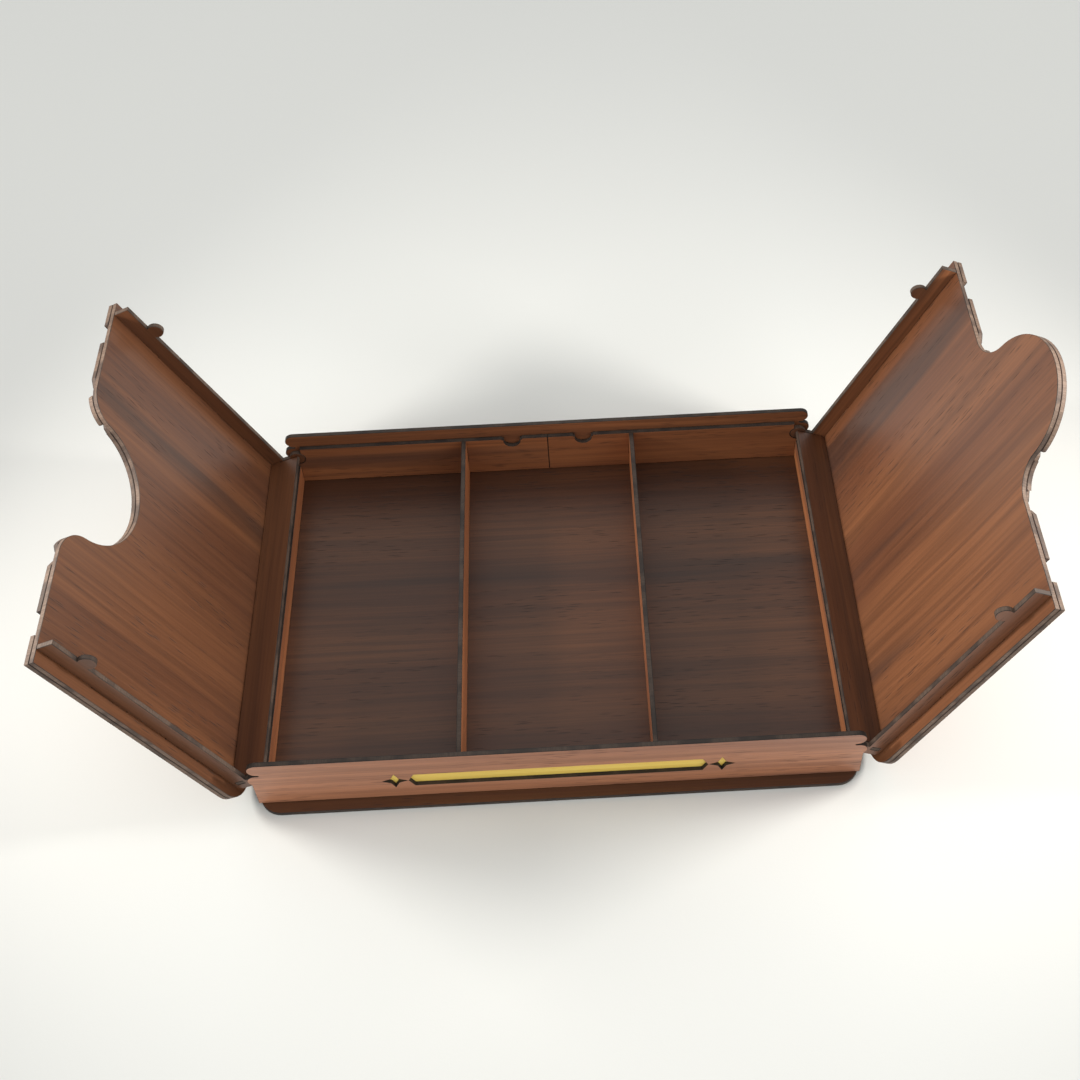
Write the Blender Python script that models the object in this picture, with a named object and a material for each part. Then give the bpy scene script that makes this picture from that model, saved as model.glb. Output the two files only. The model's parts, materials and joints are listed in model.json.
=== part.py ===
"""Two-leaf wooden box: a shallow tray whose two hinged lids lock together along a curved seam.

Every piece is a laser-cut board. X runs along the tray, Y from front to back, Z up, and the origin
is the middle of the base plate's underside. The lids are drawn shut and stand open on their axes.
"""
from math import acos, asin, atan2, cos, pi, radians, sin, sqrt

import bmesh
import bpy
from mathutils import Matrix, Vector

MM = 0.001

# Boards and clearances
BOARD = 3.0 * MM               # thickness of every wooden board
GAP = 0.3 * MM                 # between faces that are glued or rest on each other
FIT = 0.15 * MM                # around a tenon in its slot
SWING = 0.4 * MM               # between pieces that swing past each other
CHAMFER = 0.2 * MM             # broken edge along every cut

# Tray
BOX_LENGTH = 364.0 * MM        # base plate and straight ends of the outer plates
BOX_DEPTH = 251.0 * MM         # over the outer faces of the front and back plates
PLATE_TOP = 48.5 * MM          # top of the outer plates above the table
INNER_TOP = 38.5 * MM          # top of the inner plates, on which the lid walls stand
BASE_OVERHANG = 7.0 * MM       # base plate beyond the outer plates, front and back
BASE_CORNER = 14.0 * MM        # corner radius of the base plate
END_WALL_TOP = 21.0 * MM
END_WALL_INSET = 4.0 * MM      # outer face of an end wall inside the plates' ends
DIVIDER_PITCH = 117.0 * MM     # middle to middle of the two dividers
DIVIDER_TOP = 38.5 * MM
TRAY_TENON = 9.0 * MM          # height of the tenons of the end walls and dividers

# Hinges
HINGE_INSET = 6.0 * MM         # axis inside the plates' ends
HINGE_HEIGHT = 28.8 * MM       # axis above the table
OPEN_ANGLE = radians(114.0)    # swing of a lid from shut to its stop
LEG_RADIUS = 5.5 * MM          # round end of a lid leg about the axis
LEG_INNER = 2.7 * MM           # leg's inner edge inside the axis
PIN_RADIUS = 1.5 * MM
PIN_PLAY = 0.1 * MM            # around the pin in the leg
PIN_GLUE = 0.05 * MM           # around the pin in the outer plate
PIN_SOCKET = 1.7 * MM          # depth of the blind hole in the outer plate

# Shaped ends of the outer plates
LOBE_RADIUS = 5.3 * MM         # ear that covers the leg
LOBE_OUT = 2.7 * MM            # ear's centre outside the axis
LOBE_RISE = 2.1 * MM           # ear's centre above the axis
SLIT = 1.2 * MM                # slit between the ear and the nose above it
NOSE_REACH = 0.5 * MM          # nose beyond the plate's straight end
EAR_FILLET = 3.0 * MM

# Lids
SEAM = 0.7 * MM                # clear width of the seam between the lids
LID_END_OVERHANG = 7.6 * MM    # beyond the plates' ends
LID_SIDE_OVERHANG = 4.5 * MM   # beyond the outer plates, front and back
LID_CORNER = 19.0 * MM
END_BOARD_INSET = 2.6 * MM     # inner face of the lid's end board inside the axis
END_BOARD_DROP = 1.9 * MM      # lower edge of the lid's end board under the axis
END_TENON_TOP = 2.6 * MM       # tenon's upper edge under the lid panel
END_TENON = 5.3 * MM           # its height
WALL_TENON = 30.0 * MM         # length of the tenons of the lid walls
WALL_TENONS_X = (60.0 * MM, 125.0 * MM)

# Tongue and socket of the seam
TONGUE_RADIUS = 40.8 * MM
TONGUE_CENTRE = 13.6 * MM      # its centre past the seam's straight line
TONGUE_ROOT = 60.0 * MM        # where the root fillets start, front and back of the middle

# Locating tabs of the lid walls and their notches in the inner plates
TAB_X = 24.9 * MM
TAB_RADIUS = 5.2 * MM
TAB_DROP = 2.4 * MM            # tab's centre under the inner plate's top
TAB_CLEARANCE = 0.6 * MM
NOTCH_SHOULDER = 7.0 * MM      # half width of the notch's shallow mouth
NOTCH_STEP = 1.0 * MM          # depth of that mouth

# Gold inlay of the front
INLAY_HEIGHT = 22.3 * MM       # its middle above the table
BAR_SHOULDER = 86.0 * MM       # half length of the bar's parallel part
BAR_TIP = 89.3 * MM            # half length over its points
BAR_HALF = 6.5 * MM            # half height
STAR_X = 97.8 * MM
STAR_POINT = 7.5 * MM          # centre to an outer point
STAR_WAIST = 3.3 * MM          # centre to an inner point
GOLD_SHEET = 0.8 * MM
GOLD_FIT = 0.25 * MM           # around the gold in its opening
GOLD_CHAMFER = 0.05 * MM

# Ornament cut through the lids' outer layer
BORDER = 25.0 * MM             # middle of the long windows inside the lid's long edges
BORDER_HALF = 7.5 * MM         # half height of those windows
BORDER_POINT = 9.0 * MM        # length of their points
MIDDLE_WINDOW = 74.0 * MM      # half length of the window that crosses the seam
WINDOW_SPACE = 19.0 * MM       # from its tip to the next window's tip
WINDOW_END = 32.6 * MM         # outer tip of that window inside the lid's end
END_BORDER = 37.6 * MM         # middle of the window across the lid inside its end
END_WINDOW_TIP = 66.0 * MM     # its tips inside the lid's long edges
END_WINDOW_HALF = 6.5 * MM     # its half width
END_WINDOW_POINT = 8.0 * MM
END_STAR = 55.0 * MM           # stars in line with it, inside the lid's long edges
ROOT_STAR_POINT = 9.0 * MM     # star across the seam at the tongue's root
ROOT_STAR_WAIST = 4.5 * MM
NECK_STAR_TURN = radians(95.0) # place of the small star round the tongue's edge
NECK_STAR_POINT = 5.0 * MM
NECK_STAR_WAIST = 2.4 * MM
MEDALLION_INSET = 91.6 * MM    # its middle inside the lid's end
MEDALLION_POINTS = 8
MEDALLION_OUTER = 34.0 * MM
MEDALLION_WAIST = 20.0 * MM
MEDALLION_BAND = 5.0 * MM
BRIDGE = 3.0 * MM              # wood left across the medallion's ring

ARC_STEP = radians(11.25)      # largest turn between two points of a small arc
FINE_STEP = radians(5.0)       # the same on the large curves of the seam
COARSE_STEP = radians(45.0)    # the same in the narrow slits
HOLE_SIDES = 32
SHARP_ANGLE = radians(30.0)    # edges turned further than this stay sharp
WELD = 0.001 * MM

# Derived places
END_X = BOX_LENGTH / 2
OUTER_Y = BOX_DEPTH / 2
PLATE_Y = OUTER_Y - BOARD / 2                    # middle of an outer plate
INNER_Y = PLATE_Y - BOARD - GAP                  # middle of an inner plate and of a lid wall
INSIDE_Y = INNER_Y - BOARD / 2                   # its inner face
FLOOR = BOARD + GAP                              # underside of whatever stands on the base
AXIS_X = END_X - HINGE_INSET
LID_END_X = END_X + LID_END_OVERHANG
LID_HALF_Y = OUTER_Y + LID_SIDE_OVERHANG
PANEL_Z = PLATE_TOP + SWING                      # inner face of a shut lid
WALL_BOTTOM = INNER_TOP + GAP
LEG_X = AXIS_X - LEG_INNER
WALL_END_X = AXIS_X + LEG_RADIUS
END_BOARD_X = AXIS_X - END_BOARD_INSET           # its inner face
TAB_Z = INNER_TOP - TAB_DROP
TENON_REACH = INNER_Y + BOARD / 2                # tip of a tenon in an inner plate or lid wall


# ---------------------------------------------------------------- outlines

def arc(cx, cy, radius, start, end, step=ARC_STEP):
    """Points of an arc from one angle to another, both ends included."""
    count = max(2, round(abs(end - start) / step))
    angles = [start + (end - start) * i / count for i in range(count + 1)]
    return [(cx + radius * cos(a), cy + radius * sin(a)) for a in angles]


def circle(cx, cy, radius, sides=HOLE_SIDES):
    return arc(cx, cy, radius, 0.0, 2 * pi, 2 * pi / sides)[:-1]


def rounded(corners):
    """Outline through (x, y, radius) corners, each rounded where its radius isn't zero."""
    points = []
    for i, (x, y, radius) in enumerate(corners):
        corner = Vector((x, y))
        if radius <= 0.0:
            points.append((x, y))
            continue
        before = (Vector(corners[i - 1][:2]) - corner).normalized()
        after = (Vector(corners[(i + 1) % len(corners)][:2]) - corner).normalized()
        half = before.angle(after) / 2
        centre = corner + (before + after).normalized() * radius / sin(half)
        first = corner + before * radius / (sin(half) / cos(half)) - centre
        last = corner + after * radius / (sin(half) / cos(half)) - centre
        start = atan2(first.y, first.x)
        turn = (atan2(last.y, last.x) - start + pi) % (2 * pi) - pi
        points += arc(centre.x, centre.y, radius, start, start + turn)
    return points


def rectangle(x0, x1, y0, y1):
    return [(x0, y0), (x1, y0), (x1, y1), (x0, y1)]


def pointed_bar(cx, cy, half, half_height, point, upright=False):
    """Long hexagon; half is its half length over the points."""
    flat = half - point
    shape = [(-half, 0), (-flat, -half_height), (flat, -half_height),
             (half, 0), (flat, half_height), (-flat, half_height)]
    if upright:
        shape = [(-b, a) for a, b in shape]
    return [(cx + a, cy + b) for a, b in shape]


def star(cx, cy, point, waist, points=4):
    """Star with its first point along +x."""
    shape = []
    for i in range(2 * points):
        radius = waist if i % 2 else point
        angle = pi * i / points
        shape.append((cx + radius * cos(angle), cy + radius * sin(angle)))
    return shape


def signed_area(points):
    pairs = zip(points, points[1:] + points[:1])
    return sum(x0 * y1 - x1 * y0 for (x0, y0), (x1, y1) in pairs) / 2


def inset(points, distance):
    """The outline moved inwards by a distance, corner by corner."""
    if signed_area(points) < 0:
        points = points[::-1]
    moved = []
    for i, here in enumerate(points):
        before = (Vector(here) - Vector(points[i - 1])).normalized()
        after = (Vector(points[(i + 1) % len(points)]) - Vector(here)).normalized()
        normal_a = Vector((-before.y, before.x))
        normal_b = Vector((-after.y, after.x))
        shift = (normal_a + normal_b) * distance / (1.0 + normal_a.dot(normal_b))
        moved.append((here[0] + shift.x, here[1] + shift.y))
    return moved


def mirrored(points, side):
    return [(side * x, y) for x, y in points]


# ---------------------------------------------------------------- solids

def material(name, colour, roughness, metallic=0.0):
    made = bpy.data.materials.new(name)
    made.use_nodes = True
    shader = made.node_tree.nodes["Principled BSDF"]
    shader.inputs["Base Color"].default_value = (*colour, 1.0)
    shader.inputs["Roughness"].default_value = roughness
    shader.inputs["Metallic"].default_value = metallic
    return made


def plane_xy(z):
    """Frame of a board lying flat, its middle at a height."""
    return Matrix.Translation((0, 0, z))


def plane_xz(y):
    """Frame of a board along the tray: outline x stays x, outline y becomes z."""
    return Matrix(((1, 0, 0, 0), (0, 0, -1, y), (0, 1, 0, 0), (0, 0, 0, 1)))


def plane_yz(x):
    """Frame of a board across the tray: outline x becomes y, outline y becomes z."""
    return Matrix(((0, 0, 1, x), (1, 0, 0, 0), (0, 1, 0, 0), (0, 0, 0, 1)))


def filled_mesh(name, loops, thickness, chamfer):
    """Mesh of a flat outline, with holes, given a thickness and chamfered edges."""
    curve = bpy.data.curves.new(name, "CURVE")
    curve.dimensions = "2D"
    curve.fill_mode = "BOTH"
    curve.extrude = thickness / 2 - chamfer
    curve.bevel_depth = chamfer
    curve.bevel_resolution = 0
    curve.offset = -chamfer
    for index, points in enumerate(loops):
        clockwise = signed_area(points) < 0
        if clockwise != (index > 0):
            points = points[::-1]
        spline = curve.splines.new("POLY")
        spline.points.add(len(points) - 1)
        for knot, (x, y) in zip(spline.points, points):
            knot.co = (x, y, 0.0, 1.0)
        spline.use_cyclic_u = True
    holder = bpy.data.objects.new(name + ".curve", curve)
    bpy.context.scene.collection.objects.link(holder)
    bpy.context.view_layer.update()
    graph = bpy.context.evaluated_depsgraph_get()
    mesh = bpy.data.meshes.new_from_object(holder.evaluated_get(graph))
    bpy.data.objects.remove(holder)
    bpy.data.curves.remove(curve)
    mesh.name = name
    solid = bmesh.new()
    solid.from_mesh(mesh)
    bmesh.ops.remove_doubles(solid, verts=solid.verts, dist=WELD)
    bmesh.ops.recalc_face_normals(solid, faces=solid.faces)
    solid.to_mesh(mesh)
    solid.free()
    return mesh


def board(name, loops, frame, finish, parent=None, thickness=BOARD, chamfer=CHAMFER):
    """One board as an object in its place; a lid's boards hang on the lid's axis."""
    mesh = filled_mesh(name, loops, thickness, chamfer)
    mesh.materials.append(finish)
    made = bpy.data.objects.new(name, mesh)
    PARTS.objects.link(made)
    if parent:
        made.parent = parent
        made.matrix_local = Matrix.Translation(-AXES[parent.name]) @ frame
    else:
        made.matrix_world = frame
    return made


def cut(target, cutter_mesh, frame):
    """Boolean cut; the cutter stands in the target's own space."""
    cutter = bpy.data.objects.new("cut_" + target.name, cutter_mesh)
    CUTTERS.objects.link(cutter)
    cutter.hide_render = True
    cutter.display_type = "WIRE"
    cutter.parent = target.parent
    cutter.matrix_local = frame
    modifier = target.modifiers.new("cut", "BOOLEAN")
    modifier.operation = "DIFFERENCE"
    modifier.solver = "EXACT"
    modifier.object = cutter


def cylinder_mesh(name, radius, length, chamfer, sides=HOLE_SIDES):
    """Closed cylinder along z, centred, with chamfered ends."""
    mesh = bpy.data.meshes.new(name)
    solid = bmesh.new()
    bmesh.ops.create_cone(solid, cap_ends=True, segments=sides, radius1=radius, radius2=radius,
                          depth=length)
    rims = [e for e in solid.edges if abs(e.verts[0].co.z - e.verts[1].co.z) < length / 2]
    bmesh.ops.bevel(solid, geom=rims, offset=chamfer, segments=1, affect="EDGES")
    solid.to_mesh(mesh)
    solid.free()
    mesh.shade_smooth()
    mesh.set_sharp_from_angle(angle=SHARP_ANGLE)
    return mesh


# ---------------------------------------------------------------- tray

def base_plate():
    half_y = OUTER_Y + BASE_OVERHANG
    corners = [(sx * END_X, sy * half_y, BASE_CORNER) for sx, sy in
               ((-1, -1), (1, -1), (1, 1), (-1, 1))]
    board("base_plate", [rounded(corners)], plane_xy(BOARD / 2), WALNUT)


def plate_end():
    """Right end of an outer plate from its lower corner up to the top edge."""
    ear_x = AXIS_X + LOBE_OUT
    ear_z = HINGE_HEIGHT + LOBE_RISE
    slit_low = ear_z + LOBE_RADIUS
    slit_high = slit_low + SLIT
    nose = (PLATE_TOP - slit_high) / 2
    nose_x = END_X + NOSE_REACH - nose
    # concave fillet between the straight end and the ear
    fillet_x = END_X + EAR_FILLET
    reach = LOBE_RADIUS + EAR_FILLET
    fillet_z = ear_z - sqrt(reach ** 2 - (fillet_x - ear_x) ** 2)
    meet = atan2(fillet_z - ear_z, fillet_x - ear_x)
    points = [(END_X, FLOOR)]
    points += arc(fillet_x, fillet_z, EAR_FILLET, pi, meet + pi)
    points += arc(ear_x, ear_z, LOBE_RADIUS, meet, pi / 2)[1:]
    points += arc(nose_x, slit_low + SLIT / 2, SLIT / 2, -pi / 2, -3 * pi / 2, COARSE_STEP)
    points += arc(nose_x, slit_high + nose, nose, -pi / 2, pi / 2)[1:]
    return points


def outer_plate(name, side_y, openings):
    right = plate_end()
    left = mirrored(right, -1)[::-1]
    made = board(name, [right + left] + openings, plane_xz(side_y * PLATE_Y), WALNUT)
    # blind holes for the hinge pins, from the inner face
    depth = PIN_SOCKET + BOARD
    middle = side_y * (BOARD / 2 - PIN_SOCKET + depth / 2)
    radius = PIN_RADIUS + PIN_GLUE
    sockets = bpy.data.meshes.new("sockets")
    solid = bmesh.new()
    for side in (-1, 1):
        at = Matrix.Translation((side * AXIS_X, HINGE_HEIGHT, middle))
        bmesh.ops.create_cone(solid, cap_ends=True, segments=HOLE_SIDES, depth=depth,
                              radius1=radius, radius2=radius, matrix=at)
    solid.to_mesh(sockets)
    solid.free()
    cut(made, sockets, made.matrix_world.copy())


def front_openings():
    shapes = [pointed_bar(0, INLAY_HEIGHT, BAR_TIP, BAR_HALF, BAR_TIP - BAR_SHOULDER)]
    for side in (-1, 1):
        shapes.append(star(side * STAR_X, INLAY_HEIGHT, STAR_POINT, STAR_WAIST))
    return shapes


def gold_inlay():
    """Gold sheet laid in the bottom of the front plate's openings."""
    y = -(OUTER_Y - BOARD + GOLD_SHEET / 2)
    for name, shape in zip(("front_gold_bar", "front_gold_star_left", "front_gold_star_right"),
                           front_openings()):
        board(name, [inset(shape, GOLD_FIT)], plane_xz(y), GOLD, thickness=GOLD_SHEET,
              chamfer=GOLD_CHAMFER)


def tenon_slot(x0, x1, z0, z1):
    return rectangle(x0 - FIT, x1 + FIT, z0 - FIT, z1 + FIT)


def tray_tenon_span(top):
    """Lower and upper edge of the tenon of a wall that stands on the base."""
    middle = (FLOOR + top) / 2
    return middle - TRAY_TENON / 2, middle + TRAY_TENON / 2


def inner_plate(name, side_x, side_y):
    """Half of an inner plate: notch for the lid's tab, hollow and stop for the lid's leg."""
    hollow = LEG_RADIUS + SWING
    end_x = LEG_X - GAP
    # the open leg's outer edge lies along this direction, one radius from the axis
    along = Vector((sin(OPEN_ANGLE), cos(OPEN_ANGLE)))
    below = Vector((cos(OPEN_ANGLE), -sin(OPEN_ANGLE)))
    foot = Vector((AXIS_X, HINGE_HEIGHT)) + below * hollow
    toe_z = (foot + along * ((END_X - foot.x) / along.x)).y
    start = atan2(below.y, below.x)
    # the hollow runs out at the plate's inner end or, round a high axis, at its top
    rise = min(1.0, (INNER_TOP - HINGE_HEIGHT) / hollow)
    stop = max(acos((end_x - AXIS_X) / hollow), pi - asin(rise))
    end_x = min(end_x, AXIS_X + hollow * cos(stop))
    mouth = sqrt((TAB_RADIUS + TAB_CLEARANCE) ** 2 - (TAB_DROP - NOTCH_STEP) ** 2)
    mouth_angle = atan2(TAB_DROP - NOTCH_STEP, mouth)
    shelf = INNER_TOP - NOTCH_STEP
    outline = [(GAP / 2, FLOOR), (END_X, FLOOR), (END_X, toe_z)]
    outline += arc(AXIS_X, HINGE_HEIGHT, hollow, start, stop - 2 * pi)
    outline += [(end_x, INNER_TOP), (TAB_X + NOTCH_SHOULDER, INNER_TOP),
                (TAB_X + NOTCH_SHOULDER, shelf)]
    outline += arc(TAB_X, TAB_Z, TAB_RADIUS + TAB_CLEARANCE, mouth_angle, -pi - mouth_angle)
    outline += [(TAB_X - NOTCH_SHOULDER, shelf), (TAB_X - NOTCH_SHOULDER, INNER_TOP),
                (GAP / 2, INNER_TOP)]
    wall_x = END_X - END_WALL_INSET
    slots = [tenon_slot(wall_x - BOARD, wall_x, *tray_tenon_span(END_WALL_TOP)),
             tenon_slot(DIVIDER_PITCH / 2 - BOARD / 2, DIVIDER_PITCH / 2 + BOARD / 2,
                        *tray_tenon_span(DIVIDER_TOP))]
    loops = [mirrored(loop, side_x) for loop in [outline] + slots]
    board(name, loops, plane_xz(side_y * INNER_Y), WALNUT)


def cross_wall(name, x, top):
    """End wall or divider, with a tenon into each inner plate."""
    low, high = tray_tenon_span(top)
    half = INSIDE_Y - GAP
    right = [(half, FLOOR), (half, low), (TENON_REACH, low), (TENON_REACH, high), (half, high),
             (half, top)]
    board(name, [right + mirrored(right, -1)[::-1]], plane_yz(x), WALNUT)


def hinge_pin(name, side_x, side_y):
    inner = INSIDE_Y + CHAMFER
    outer = PLATE_Y - BOARD / 2 + PIN_SOCKET - CHAMFER
    mesh = cylinder_mesh(name, PIN_RADIUS, outer - inner, CHAMFER)
    mesh.materials.append(STEEL)
    made = bpy.data.objects.new(name, mesh)
    PARTS.objects.link(made)
    made.location = (side_x * AXIS_X, side_y * (inner + outer) / 2, HINGE_HEIGHT)
    made.rotation_euler = (pi / 2, 0, 0)


# ---------------------------------------------------------------- lids

def seam_curve(side):
    """Edge of a lid along the seam, from front to back: tongue on the right lid, socket on the left."""
    shrink = side * SEAM / 2
    centre = TONGUE_CENTRE
    root = (centre ** 2 + TONGUE_ROOT ** 2 - TONGUE_RADIUS ** 2) / (2 * (TONGUE_RADIUS + centre))
    lean = atan2(TONGUE_ROOT, root - centre)
    front = arc(-root, -TONGUE_ROOT, root + shrink, 0.0, lean, FINE_STEP)
    tip = arc(-centre, 0.0, TONGUE_RADIUS - shrink, lean - pi, -lean - pi, FINE_STEP)
    back = [(x, -y) for x, y in front[::-1]]
    return front + tip[1:-1] + back


def lid_outline(side):
    """Outline of a shut lid, seen from above."""
    end_x = side * LID_END_X
    half_y = LID_HALF_Y
    seam_x = side * SEAM / 2
    tail = rounded([(end_x, half_y, LID_CORNER), (end_x, -half_y, LID_CORNER),
                    (seam_x, -half_y, 0), (seam_x, half_y, 0)])
    return tail[:-2] + [(seam_x, -half_y)] + seam_curve(side) + [(seam_x, half_y)]


def lid_panel(name, side, axis):
    slots = []
    for x in WALL_TENONS_X:
        for side_y in (-1, 1):
            slots.append(mirrored(rectangle(x - WALL_TENON / 2 - FIT, x + WALL_TENON / 2 + FIT,
                                            side_y * INNER_Y - BOARD / 2 - FIT,
                                            side_y * INNER_Y + BOARD / 2 + FIT), side))
    board(name, [lid_outline(side)] + slots, plane_xy(PANEL_Z + BOARD / 2), WALNUT, axis)


def medallion_windows(side):
    """Ring of kite-shaped windows that draws a star with equal points."""
    shapes = []
    step = pi / MEDALLION_POINTS
    centre = side * (LID_END_X - MEDALLION_INSET)
    inner = MEDALLION_WAIST - MEDALLION_BAND
    for i in range(MEDALLION_POINTS):
        middle = 2 * i * step
        kite = [(inner, middle - step), (MEDALLION_WAIST, middle - step), (MEDALLION_OUTER, middle),
                (MEDALLION_WAIST, middle + step), (inner, middle + step),
                (MEDALLION_OUTER - 2 * MEDALLION_BAND, middle)]
        shape = [(centre + r * cos(a), r * sin(a)) for r, a in kite]
        shapes.append(inset(shape, BRIDGE / 2))
    return shapes


def ornament(side):
    """Windows of a lid's outer layer; some run across the seam into the other lid."""
    shapes = medallion_windows(side)
    end_x = LID_END_X - END_BORDER
    outer_tip = LID_END_X - WINDOW_END
    inner_tip = MIDDLE_WINDOW + WINDOW_SPACE
    shapes.append(pointed_bar(side * end_x, 0, LID_HALF_Y - END_WINDOW_TIP, END_WINDOW_HALF,
                              END_WINDOW_POINT, upright=True))
    neck_x = -TONGUE_CENTRE + TONGUE_RADIUS * cos(NECK_STAR_TURN)
    neck_y = TONGUE_RADIUS * sin(NECK_STAR_TURN)
    for side_y in (-1, 1):
        y = side_y * (LID_HALF_Y - BORDER)
        shapes.append(pointed_bar(0, y, MIDDLE_WINDOW, BORDER_HALF, BORDER_POINT))
        shapes.append(pointed_bar(side * (inner_tip + outer_tip) / 2, y, (outer_tip - inner_tip) / 2,
                                  BORDER_HALF, BORDER_POINT))
        shapes.append(star(side * end_x, side_y * (LID_HALF_Y - END_STAR), STAR_POINT, STAR_WAIST))
        shapes.append(star(0, side_y * TONGUE_ROOT, ROOT_STAR_POINT, ROOT_STAR_WAIST))
        shapes.append(star(neck_x, side_y * neck_y, NECK_STAR_POINT, NECK_STAR_WAIST))
    return shapes


def lid_overlay(name, side, axis):
    middle = PANEL_Z + BOARD + GAP + BOARD / 2
    made = board(name, [lid_outline(side)], plane_xy(middle), WALNUT, axis)
    windows = bmesh.new()
    for shape in ornament(side):
        prism = filled_mesh("window", [shape], 2 * BOARD, 0.0)
        windows.from_mesh(prism)
        bpy.data.meshes.remove(prism)
    mesh = bpy.data.meshes.new("windows")
    windows.to_mesh(mesh)
    windows.free()
    cut(made, mesh, made.matrix_local.copy())


def lid_wall(name, side, side_y, axis):
    """Side wall of a lid: tenons into the panel, a tab at the seam, a leg down to the hinge."""
    top = PANEL_Z - GAP
    outline = [(SEAM / 2, top)]
    for x in WALL_TENONS_X:
        a, b = x - WALL_TENON / 2, x + WALL_TENON / 2
        outline += [(a, top), (a, PANEL_Z + BOARD), (b, PANEL_Z + BOARD), (b, top)]
    outline += arc(WALL_END_X - BOARD, top - BOARD, BOARD, pi / 2, 0.0)
    inner_angle = acos(-LEG_INNER / LEG_RADIUS)
    outline += arc(AXIS_X, HINGE_HEIGHT, LEG_RADIUS, 0.0, inner_angle - 2 * pi)
    neck = atan2(WALL_BOTTOM - TAB_Z, sqrt(TAB_RADIUS ** 2 - (WALL_BOTTOM - TAB_Z) ** 2))
    outline += [(LEG_X, WALL_BOTTOM)]
    outline += arc(TAB_X, TAB_Z, TAB_RADIUS, neck, -pi - neck)
    outline += [(SEAM / 2, WALL_BOTTOM)]
    tenon_top = PANEL_Z - END_TENON_TOP
    holes = [tenon_slot(END_BOARD_X, END_BOARD_X + BOARD, tenon_top - END_TENON, tenon_top),
             circle(AXIS_X, HINGE_HEIGHT, PIN_RADIUS + PIN_PLAY)]
    loops = [mirrored(loop, side) for loop in [outline] + holes]
    board(name, loops, plane_xz(side_y * INNER_Y), WALNUT, axis)


def end_board(name, side, axis):
    """Board across a lid at the hinge, with a tenon through each lid wall."""
    half = INSIDE_Y - GAP
    tenon_top = PANEL_Z - END_TENON_TOP
    right = [(half, HINGE_HEIGHT - END_BOARD_DROP), (half, tenon_top - END_TENON),
             (TENON_REACH, tenon_top - END_TENON), (TENON_REACH, tenon_top), (half, tenon_top),
             (half, PANEL_Z - GAP)]
    board(name, [right + mirrored(right, -1)[::-1]],
          plane_yz(side * (END_BOARD_X + BOARD / 2)), WALNUT, axis)


def lid_axis(name, side):
    """Empty on the hinge axis, turned by the swing of the open lid."""
    axis = bpy.data.objects.new(name, None)
    PARTS.objects.link(axis)
    axis.location = AXES[name]
    axis.rotation_euler = (0, side * OPEN_ANGLE, 0)
    return axis


def lid(word, side):
    axis = lid_axis(word + "_lid_axis", side)
    lid_panel(word + "_lid_panel", side, axis)
    lid_overlay(word + "_lid_overlay", side, axis)
    for place, side_y in (("front", -1), ("back", 1)):
        lid_wall(word + "_lid_" + place + "_wall", side, side_y, axis)
    end_board(word + "_lid_end_board", side, axis)


# ---------------------------------------------------------------- assembly

def tray():
    base_plate()
    outer_plate("front_outer_plate", -1, front_openings())
    outer_plate("back_outer_plate", 1, [])
    gold_inlay()
    for place, side_y in (("front", -1), ("back", 1)):
        for word, side_x in SIDES:
            inner_plate(place + "_inner_plate_" + word, side_x, side_y)
            hinge_pin(place + "_hinge_pin_" + word, side_x, side_y)
    for word, side_x in SIDES:
        cross_wall(word + "_end_wall", side_x * (END_X - END_WALL_INSET - BOARD / 2), END_WALL_TOP)
        cross_wall(word + "_divider", side_x * DIVIDER_PITCH / 2, DIVIDER_TOP)


SIDES = (("left", -1), ("right", 1))
AXES = {word + "_lid_axis": Vector((side * AXIS_X, 0, HINGE_HEIGHT)) for word, side in SIDES}

for old in list(bpy.data.objects):
    bpy.data.objects.remove(old)
PARTS = bpy.data.collections.new("wooden_box")
CUTTERS = bpy.data.collections.new("cutters")
bpy.context.scene.collection.children.link(PARTS)
bpy.context.scene.collection.children.link(CUTTERS)
WALNUT = material("walnut_board", (0.24, 0.10, 0.055), 0.45)
GOLD = material("gold_sheet", (0.78, 0.55, 0.13), 0.3, 1.0)
STEEL = material("steel_pin", (0.5, 0.48, 0.46), 0.35, 1.0)

tray()
for lid_word, lid_side in SIDES:
    lid(lid_word, lid_side)
bpy.context.view_layer.update()
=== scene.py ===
"""Looks of the two-leaf wooden box: walnut foil boards with laser-cut edges, gold inlay, steel pins.

All lengths are in metres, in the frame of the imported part: X along the tray, Y to the back, Z up.
"""
import json
from math import radians

import bmesh
import bpy
from mathutils import Euler, Matrix, Vector


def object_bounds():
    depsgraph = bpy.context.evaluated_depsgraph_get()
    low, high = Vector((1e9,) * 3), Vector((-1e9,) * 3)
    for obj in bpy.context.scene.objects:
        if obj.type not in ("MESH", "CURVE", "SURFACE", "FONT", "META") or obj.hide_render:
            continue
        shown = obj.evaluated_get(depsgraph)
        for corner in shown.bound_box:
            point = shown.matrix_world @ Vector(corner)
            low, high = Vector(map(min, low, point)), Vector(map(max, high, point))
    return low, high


MM = 0.001

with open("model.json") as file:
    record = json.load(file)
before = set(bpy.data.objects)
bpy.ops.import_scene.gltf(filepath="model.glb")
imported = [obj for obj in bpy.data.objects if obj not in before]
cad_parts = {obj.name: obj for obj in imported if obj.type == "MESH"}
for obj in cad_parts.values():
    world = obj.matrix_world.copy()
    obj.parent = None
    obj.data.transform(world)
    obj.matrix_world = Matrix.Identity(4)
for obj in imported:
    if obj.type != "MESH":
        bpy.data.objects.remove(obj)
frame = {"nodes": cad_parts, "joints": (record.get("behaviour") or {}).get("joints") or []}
CAD_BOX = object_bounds()
NODES = frame["nodes"]
JOINTS = {joint["name"]: joint for joint in frame["joints"]}
OPEN_ANGLE = radians(JOINTS["left_lid_hinge"]["range_deg"][1])

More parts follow.
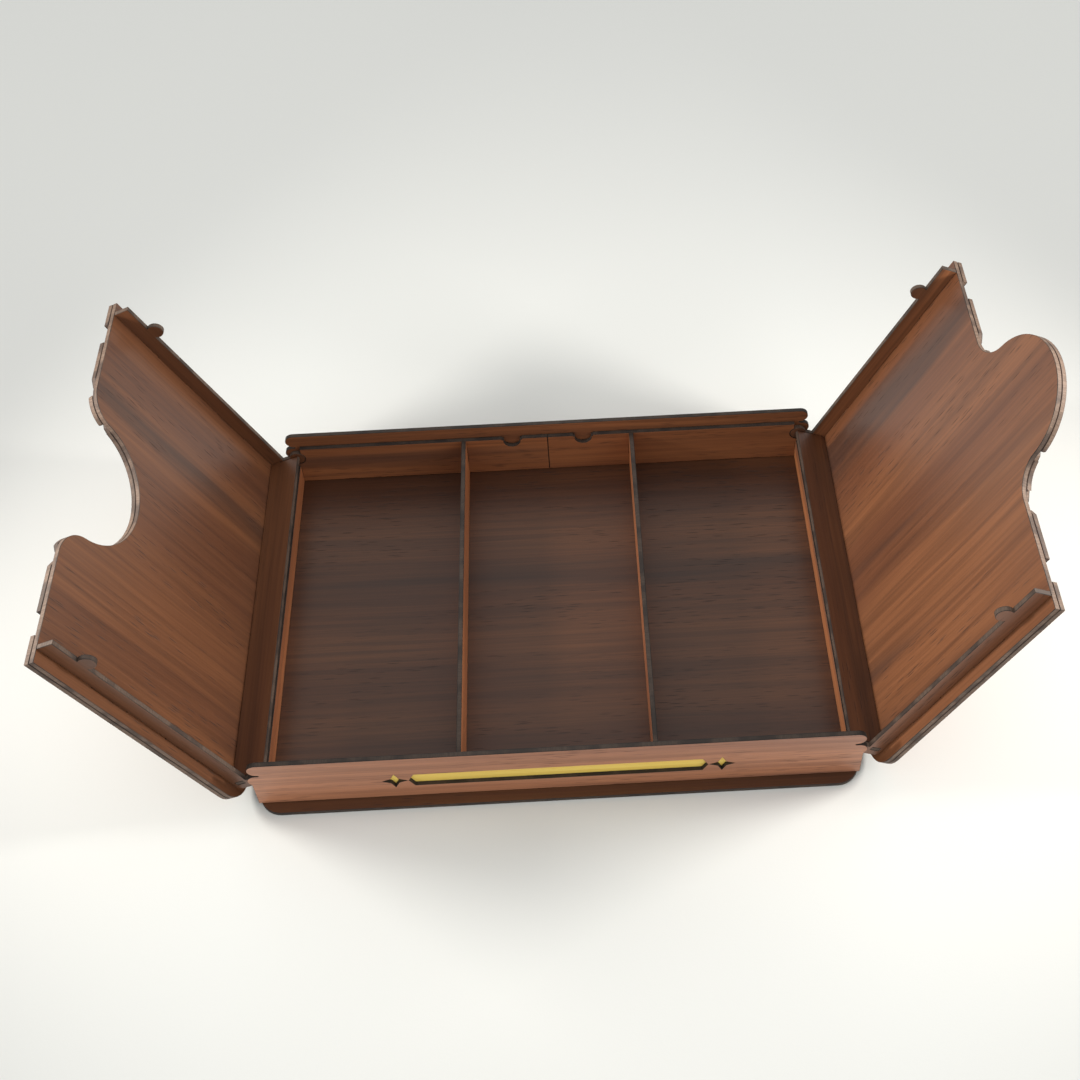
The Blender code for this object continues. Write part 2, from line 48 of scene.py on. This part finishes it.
X_AXIS = Vector((1, 0, 0))
Y_AXIS = Vector((0, 1, 0))
Z_AXIS = Vector((0, 0, 1))
ONES = Vector((1, 1, 1))

# Camera
CAMERA_PLACE = Vector((23.671, -561.862, 871.091)) * MM
CAMERA_TURN = Euler((0.75326, 0.02822, -0.04315))
CAMERA_SENSOR = 36.0            # mm
CAMERA_LENS = 51.244            # mm
CAMERA_SHIFT = (-0.04598, -0.19444)

# Wood, as linear colours
FOIL_LIGHT = (0.280, 0.105, 0.040)
FOIL_MIDDLE = (0.175, 0.061, 0.025)
FOIL_DARK = (0.070, 0.027, 0.015)
# painted sheen: grey haze of reflected light, mixed into the face colour
FOIL_PAINTED_SHEEN = (0.160, 0.088, 0.066)
PORE = (0.030, 0.013, 0.008)
CORE_LIGHT = (0.240, 0.160, 0.115)
CORE_DARK = (0.120, 0.072, 0.048)
CORE_BURNT = (0.060, 0.036, 0.026)
BURNT = (0.018, 0.011, 0.008)
CORNER_WORN = (0.110, 0.070, 0.048)
FOIL_HEART = (0.045, 0.026, 0.022)

# Other finishes
GOLD = (0.980, 0.740, 0.180)
GOLD_DEEP = (0.920, 0.620, 0.120)
STEEL = (0.560, 0.540, 0.510)
STEEL_DEEP = (0.330, 0.320, 0.310)
PAPER = (0.770, 0.780, 0.755)
PAPER_COOL = (0.745, 0.755, 0.740)
FLOOR_RADIUS = 4.0

SKY = (1.0, 1.0, 0.985)
SKY_STRENGTH = 0.84
# Lamps: name, place, point aimed at, diameter, watts, colour, spread in degrees
LAMPS = (
    ("left lamp", (-0.58, -0.01, 0.34), (0.10, 0.0, 0.05), 0.12, 0.85, (1.0, 0.96, 0.90), 96),
    ("right lamp", (0.64, -0.04, 0.35), (-0.10, 0.0, 0.05), 0.12, 1.10, (1.0, 0.96, 0.90), 96),
    ("front lamp", (1.10, -1.60, 1.00), (0.0, -0.1, 0.0), 0.90, 3.4, (1.0, 0.99, 0.97), 180),
)


# ---------------------------------------------------------------- shader graphs

# Places of the Mix node's colour sockets, whose names it repeats for other kinds of value
MIX_SHARE, MIX_A, MIX_B = 0, 6, 7
MIX_COLOUR = 2


class Graph:
    """Short calls that add and wire the nodes of one tree."""

    def __init__(self, tree):
        self.tree = tree

    def add(self, kind, **settings):
        made = self.tree.nodes.new(kind)
        for name, value in settings.items():
            setattr(made, name, value)
        return made

    def feed(self, socket, value):
        """Sets a socket, or links it when the value is another node's output."""
        if isinstance(value, bpy.types.NodeSocket):
            self.tree.links.new(value, socket)
        elif socket.type == "RGBA" and len(value) == 3:
            socket.default_value = (*value, 1.0)
        else:
            socket.default_value = value

    def math(self, operation, a, b=0.0, clamp=False):
        made = self.add("ShaderNodeMath", operation=operation, use_clamp=clamp)
        self.feed(made.inputs[0], a)
        self.feed(made.inputs[1], b)
        return made.outputs[0]

    def vector(self, operation, a, b=(0.0, 0.0, 0.0)):
        made = self.add("ShaderNodeVectorMath", operation=operation)
        self.feed(made.inputs[0], a)
        self.feed(made.inputs[1], b)
        return made.outputs["Value" if operation == "DOT_PRODUCT" else "Vector"]

    def scale(self, a, factor):
        made = self.add("ShaderNodeVectorMath", operation="SCALE")
        self.feed(made.inputs[0], a)
        self.feed(made.inputs["Scale"], factor)
        return made.outputs["Vector"]

    def combine(self, x, y, z):
        made = self.add("ShaderNodeCombineXYZ")
        for socket, value in zip(made.inputs, (x, y, z)):
            self.feed(socket, value)
        return made.outputs[0]

    def noise(self, place, scale=1.0, detail=2.0):
        made = self.add("ShaderNodeTexNoise")
        self.feed(made.inputs["Vector"], place)
        made.inputs["Scale"].default_value = scale
        made.inputs["Detail"].default_value = detail
        return made.outputs["Fac"]

    def cells(self, place):
        """Distance to the nearest of the points scattered over the space, one to a unit."""
        made = self.add("ShaderNodeTexVoronoi")
        self.feed(made.inputs["Vector"], place)
        made.inputs["Scale"].default_value = 1.0
        return made.outputs["Distance"]

    def ease(self, value, low, high, start=0.0, end=1.0):
        """Smooth step of a value from low to high."""
        made = self.add("ShaderNodeMapRange", interpolation_type="SMOOTHSTEP")
        for socket, setting in zip(made.inputs, (value, low, high, start, end)):
            self.feed(socket, setting)
        return made.outputs[0]

    def mix(self, share, a, b):
        """Colour a, going over to colour b as the share rises to 1."""
        made = self.add("ShaderNodeMix", data_type="RGBA")
        self.feed(made.inputs[MIX_SHARE], share)
        self.feed(made.inputs[MIX_A], a)
        self.feed(made.inputs[MIX_B], b)
        return made.outputs[MIX_COLOUR]


# ---------------------------------------------------------------- walnut foil board

# Grain: cycles in a metre along the board and across it, and a shift that sets each apart
BANDS = (1.6, 24.0, 1.0)
LINES = (5.0, 210.0, 2.0)
FIBRES = (14.0, 950.0, 3.0)
HEART_STREAKS = (1.4, 24.0, 4.0)
PORE_PATCHES = (5.0, 34.0, 5.0)
PORES = (48.0, 720.0, 6.0)
LINE_SHARE = 0.34            # how far the foil goes over to each darker colour
HEART_SHARE = 0.66
PORE_SHARE = 0.66
FIBRE_SHADE = (0.86, 1.13)   # brightness of the darkest and the lightest fibres
WANDER = (3.0, 9.0)          # cycles in a metre along and across
WARP = 5 * MM                # how far the grain lines wander
GRAIN_DEPTH = 0.05 * MM
FACE_ROUGH = 0.34
EDGE_ROUGH = 0.72

# Cut edges, by cycles in a metre
STROKES = 1500.0
STROKES_THROUGH = -1300.0    # added across the thickness, where the strokes are longer
BLOTCHES = 70.0
BLOTCH_SHARE = 0.80
RIM_UNEVEN = 0.5
WEAR = 55.0
FACE_DOT = (0.80, 0.93)      # of the normal and the board's normal, where a face begins
EDGE_DOT = (0.30, 0.55)      # where a cut edge ends and the burnt corner begins
RIM = (0.62, 0.92)           # share of half the thickness, where the cut edge turns black
BOARD_INPUTS = ("Middle", "Half", "Seed", "Painted_Light_Level", "Painted_Sheen", "Pale")
BOARD_VECTORS = ("Along", "Across", "Through")


def group_sockets(tree):
    for name in BOARD_VECTORS:
        tree.interface.new_socket(name, in_out="INPUT", socket_type="NodeSocketVector")
    for name in BOARD_INPUTS:
        tree.interface.new_socket(name, in_out="INPUT", socket_type="NodeSocketFloat")
    tree.interface.new_socket("Color", in_out="OUTPUT", socket_type="NodeSocketColor")
    for name in ("Roughness", "Height"):
        tree.interface.new_socket(name, in_out="OUTPUT", socket_type="NodeSocketFloat")


def foil(g, u, v, given):
    """Colour, height and roughness of the face: bands, lines, dark heart streaks, pores and a
    painted sheen.
    """
    seed = given["Seed"]
    wander = g.noise(g.combine(g.math("MULTIPLY", u, WANDER[0]),
                               g.math("MULTIPLY", v, WANDER[1]), seed))
    v = g.math("ADD", v, g.math("MULTIPLY", g.math("SUBTRACT", wander, 0.5), 2 * WARP))

    def at(cycles):
        along, across, shift = cycles
        return g.combine(g.math("MULTIPLY", u, along), g.math("MULTIPLY", v, across),
                         g.math("ADD", seed, shift))

    bands = g.ease(g.noise(at(BANDS)), 0.34, 0.66)
    lines = g.ease(g.noise(at(LINES), detail=4.0), 0.42, 0.66)
    fine = g.noise(at(FIBRES))
    heart = g.ease(g.noise(at(HEART_STREAKS), detail=3.0), 0.56, 0.70)
    patches = g.ease(g.noise(at(PORE_PATCHES), detail=1.0), 0.40, 0.58)
    pores = g.math("MULTIPLY", g.ease(g.cells(at(PORES)), 0.30, 0.10), patches)

    colour = g.mix(bands, FOIL_MIDDLE, FOIL_LIGHT)
    # painted sheen: the face goes over to a grey haze of reflected light, by each board's share
    colour = g.mix(given["Painted_Sheen"], colour, FOIL_PAINTED_SHEEN)
    colour = g.mix(g.math("MULTIPLY", lines, LINE_SHARE), colour, FOIL_DARK)
    colour = g.mix(g.math("MULTIPLY", heart, HEART_SHARE), colour, FOIL_HEART)
    colour = g.scale(colour, g.ease(fine, 0.25, 0.75, *FIBRE_SHADE))
    colour = g.mix(g.math("MULTIPLY", pores, PORE_SHARE), colour, PORE)
    height = g.math("SUBTRACT", g.math("MULTIPLY", fine, 0.35), g.math("MULTIPLY", pores, 0.8))
    rough = g.math("ADD", g.math("MULTIPLY", fine, 0.10), g.math("MULTIPLY", pores, 0.20))
    return colour, height, g.math("ADD", rough, FACE_ROUGH)


def cut_edge(g, place, w, given):
    """Colour of the laser-cut edge, with a pale fibrous core and burnt rims, and its strokes."""
    depth = g.math("DIVIDE", g.math("ABSOLUTE", w), given["Half"])
    seeded = g.vector("ADD", place, g.combine(given["Seed"], 0.0, 0.0))
    stretch = g.scale(given["Through"], g.math("MULTIPLY", w, STROKES_THROUGH))
    strokes = g.noise(g.vector("ADD", g.scale(seeded, STROKES), stretch), detail=3.0)
    blotch = g.noise(g.scale(seeded, BLOTCHES))
    core = g.mix(g.ease(strokes, 0.22, 0.78), CORE_DARK, CORE_LIGHT)
    core = g.mix(g.math("MULTIPLY", g.ease(blotch, 0.44, 0.62), BLOTCH_SHARE), core, CORE_BURNT)
    uneven = g.math("MULTIPLY", g.math("SUBTRACT", blotch, 0.5), RIM_UNEVEN)
    rim = g.ease(g.math("ADD", depth, uneven), *RIM)
    return g.mix(rim, core, BURNT), strokes


def board_group():
    """A shader group that any flat board can use, given its own three directions."""
    tree = bpy.data.node_groups.new("walnut board", "ShaderNodeTree")
    group_sockets(tree)
    g = Graph(tree)
    given = g.add("NodeGroupInput").outputs
    texture = g.add("ShaderNodeTexCoord")
    place, normal = texture.outputs["Object"], texture.outputs["Normal"]
    u = g.vector("DOT_PRODUCT", place, given["Along"])
    v = g.vector("DOT_PRODUCT", place, given["Across"])
    w = g.math("SUBTRACT", g.vector("DOT_PRODUCT", place, given["Through"]), given["Middle"])
    facing = g.math("ABSOLUTE", g.vector("DOT_PRODUCT", normal, given["Through"]))

    face, face_height, face_rough = foil(g, u, v, given)
    edge, strokes = cut_edge(g, place, w, given)
    wear = g.noise(g.scale(place, WEAR), detail=3.0)
    corner = g.mix(g.ease(wear, 0.40, 0.62), BURNT, CORNER_WORN)

    colour = g.mix(g.ease(facing, *EDGE_DOT), edge, corner)
    on_face = g.ease(facing, *FACE_DOT)
    # painted light and shade: the face colour is scaled by each board's level, brighter on lit
    # boards and darker on shaded ones
    colour = g.mix(on_face, g.scale(colour, given["Pale"]), g.scale(face, given["Painted_Light_Level"]))
    height = g.math("ADD", g.math("MULTIPLY", on_face, face_height),
                    g.math("MULTIPLY", g.math("SUBTRACT", 1.0, on_face), strokes))
    rough = g.ease(on_face, 0.0, 1.0, EDGE_ROUGH, face_rough)

    out = g.add("NodeGroupOutput")
    for name, value in (("Color", colour), ("Roughness", rough), ("Height", height)):
        g.feed(out.inputs[name], value)
    return tree


def blank(name):
    """A new material with its graph, its surface shader and its output wired."""
    material = bpy.data.materials.new(name)
    material.use_nodes = True
    material.node_tree.nodes.clear()
    g = Graph(material.node_tree)
    shader = g.add("ShaderNodeBsdfPrincipled")
    g.feed(g.add("ShaderNodeOutputMaterial").inputs["Surface"], shader.outputs[0])
    return material, g, shader


def bump(g, shader, height, depth):
    made = g.add("ShaderNodeBump")
    made.inputs["Strength"].default_value = 1.0
    made.inputs["Distance"].default_value = depth
    g.feed(made.inputs["Height"], height)
    g.feed(shader.inputs["Normal"], made.outputs[0])


def board_material(name, group, along, through, painted_light_level, painted_sheen, pale, seed):
    """The material of one board, from its grain direction and the normal of its faces."""
    material, g, shader = blank(name)
    made = g.add("ShaderNodeGroup", node_tree=group)
    mesh = bpy.data.objects[name].data
    depths = [vertex.co.dot(through) for vertex in mesh.vertices]
    low, high = min(depths), max(depths)
    settings = {"Along": along, "Across": through.cross(along), "Through": through,
                "Middle": (low + high) / 2, "Half": (high - low) / 2,
                "Seed": seed, "Painted_Light_Level": painted_light_level, "Painted_Sheen": painted_sheen, "Pale": pale}
    for key, value in settings.items():
        g.feed(made.inputs[key], value)
    g.feed(shader.inputs["Base Color"], made.outputs["Color"])
    g.feed(shader.inputs["Roughness"], made.outputs["Roughness"])
    shader.inputs["Specular IOR Level"].default_value = 0.5
    bump(g, shader, made.outputs["Height"], GRAIN_DEPTH)
    return material


# ---------------------------------------------------------------- gold and steel

TARNISH = 90.0               # cycles in a metre
TARNISH_SHARE = 0.45
BRUSH_DEPTH = 0.01 * MM
GOLD_STREAKS = (9.0, 2300.0)     # cycles in a metre along the brushing and across it
STEEL_STREAKS = (60.0, 3500.0)
GOLD_METALLIC = 0.20             # a lacquered sheet, brighter than bare metal
STEEL_METALLIC = 1.0


def brushed_material(name, light, deep, along, streak, rough, metallic):
    """Brushed sheet or wire: thin streaks along one axis, and a little tarnish."""
    material, g, shader = blank(name)
    place = g.add("ShaderNodeTexCoord").outputs["Object"]
    cycles = along * streak[0] + (ONES - along) * streak[1]
    streaks = g.noise(g.vector("MULTIPLY", place, cycles))
    cloud = g.noise(place, scale=TARNISH, detail=3.0)
    colour = g.mix(g.ease(streaks, 0.30, 0.70), deep, light)
    colour = g.mix(g.math("MULTIPLY", g.ease(cloud, 0.55, 0.80), TARNISH_SHARE), colour, deep)
    g.feed(shader.inputs["Base Color"], colour)
    shader.inputs["Metallic"].default_value = metallic
    g.feed(shader.inputs["Roughness"], g.ease(streaks, 0.20, 0.80, *rough))
    bump(g, shader, streaks, BRUSH_DEPTH)
    return material


# ---------------------------------------------------------------- which board is which

def opened(direction, side):
    """A direction on a shut lid, turned to where it is on the open lid."""
    return Matrix.Rotation(side * OPEN_ANGLE, 3, "Y") @ direction


def lid_directions(side):
    """Towards the free edge, and out of the outer face, of the open lid on one side."""
    along = opened(-side * X_AXIS, side)
    return along.normalized(), opened(Z_AXIS, side).normalized()


LID_WALL_PAINTED_SHADE = 0.8         # painted shade: brightness of a lid's side walls against its panel, darkened as if they stood in shade
SEED_FIRST = 3.7
SEED_STEP = 11.3


def board_rows():
    """Node name, grain, face normal, painted light and shade level of the face (each board made
    brighter or darker as it stands lit or shaded), painted sheen of the face, paleness of the edges.
    """
    # painted light and shade in the fourth column: tray floor darkened as in shade; front plate, end
    # walls and dividers brightened as where lit
    rows = [("base_plate", X_AXIS, Z_AXIS, 0.36, 0.0, 0.25),
            ("front_outer_plate", X_AXIS, Y_AXIS, 1.85, 0.45, 0.22),
            ("back_outer_plate", X_AXIS, Y_AXIS, 0.95, 0.05, 0.22)]
    for end in ("left", "right"):
        rows += [("front_inner_plate_" + end, X_AXIS, Y_AXIS, 1.00, 0.10, 0.20),
                 ("back_inner_plate_" + end, X_AXIS, Y_AXIS, 1.10, 0.00, 0.20),
                 (end + "_end_wall", Y_AXIS, X_AXIS, 1.90, 0.00, 0.25),
                 (end + "_divider", Y_AXIS, X_AXIS, 1.90, 0.00, 0.25)]
    # painted light and shade: the left lid is darker than the right, as if lit less
    for side, end, painted_light_level in ((-1, "left", 0.66), (1, "right", 1.02)):
        along, through = lid_directions(side)
        rows += [(end + "_lid_panel", along, through, painted_light_level, 0.10, 0.85),
                 (end + "_lid_overlay", along, through, painted_light_level, 0.10, 0.85),
                 (end + "_lid_front_wall", along, Y_AXIS, LID_WALL_PAINTED_SHADE * painted_light_level, 0.15, 0.60),
                 (end + "_lid_back_wall", along, Y_AXIS, LID_WALL_PAINTED_SHADE * painted_light_level, 0.10, 0.60),
                 (end + "_lid_end_board", Y_AXIS, along, 0.58, 0.05, 0.50)]
    return rows


def dress(name, material):
    """Puts the material in every slot of a node."""
    slots = bpy.data.objects[name].data.materials
    if len(slots) == 0:
        slots.append(material)
    for index in range(len(slots)):
        slots[index] = material


def dress_all():
    group = board_group()
    for index, (name, *look) in enumerate(board_rows()):
        dress(name, board_material(name, group, *look, SEED_FIRST + SEED_STEP * index))
    gold = brushed_material("gold sheet", GOLD, GOLD_DEEP, X_AXIS, GOLD_STREAKS, (0.26, 0.40),
                            GOLD_METALLIC)
    steel = brushed_material("pin steel", STEEL, STEEL_DEEP, Y_AXIS, STEEL_STREAKS, (0.25, 0.42),
                             STEEL_METALLIC)
    for name in NODES:
        if "gold" in name:
            dress(name, gold)
        if "pin" in name:
            dress(name, steel)


# ---------------------------------------------------------------- floor, light, camera

PAPER_CLOUDS = 2.5           # cycles in a metre
PAPER_FIBRES = 900.0
PAPER_DEPTH = 0.03 * MM
FLOOR_SIDES = 96


def paper_material():
    material, g, shader = blank("white paper")
    place = g.add("ShaderNodeTexCoord").outputs["Object"]
    cloud = g.noise(place, scale=PAPER_CLOUDS)
    fibre = g.noise(place, scale=PAPER_FIBRES)
    colour = g.mix(cloud, PAPER, PAPER_COOL)
    g.feed(shader.inputs["Base Color"], colour)
    shader.inputs["Roughness"].default_value = 0.85
    shader.inputs["Specular IOR Level"].default_value = 0.2
    bump(g, shader, fibre, PAPER_DEPTH)
    return material


def add_floor():
    mesh = bpy.data.meshes.new("floor")
    surface = bmesh.new()
    bmesh.ops.create_circle(surface, cap_ends=True, segments=FLOOR_SIDES, radius=FLOOR_RADIUS)
    surface.to_mesh(mesh)
    surface.free()
    floor = bpy.data.objects.new("floor", mesh)
    floor.location.z = CAD_BOX[0][2]
    mesh.materials.append(paper_material())
    bpy.context.scene.collection.objects.link(floor)


def add_lamp(name, place, aim, size, power, colour, spread):
    data = bpy.data.lights.new(name, "AREA")
    data.shape = "DISK"
    data.size = size
    data.energy = power
    data.color = colour
    data.spread = radians(spread)
    lamp = bpy.data.objects.new(name, data)
    lamp.location = place
    lamp.rotation_euler = (Vector(place) - Vector(aim)).to_track_quat("Z", "Y").to_euler()
    lamp.visible_camera = False
    bpy.context.scene.collection.objects.link(lamp)


def add_world():
    world = bpy.data.worlds.new("studio")
    world.use_nodes = True
    backdrop = world.node_tree.nodes["Background"]
    backdrop.inputs["Color"].default_value = (*SKY, 1.0)
    backdrop.inputs["Strength"].default_value = SKY_STRENGTH
    bpy.context.scene.world = world


def add_camera():
    data = bpy.data.cameras.new("camera")
    data.sensor_width = CAMERA_SENSOR
    data.lens = CAMERA_LENS
    data.shift_x, data.shift_y = CAMERA_SHIFT
    data.clip_start = 10 * MM
    camera = bpy.data.objects.new("camera", data)
    camera.location = CAMERA_PLACE
    camera.rotation_euler = CAMERA_TURN
    bpy.context.scene.collection.objects.link(camera)
    bpy.context.scene.camera = camera


def main():
    dress_all()
    add_floor()
    add_world()
    for row in LAMPS:
        add_lamp(*row)
    add_camera()
    bpy.context.scene.view_settings.view_transform = "Standard"


main()
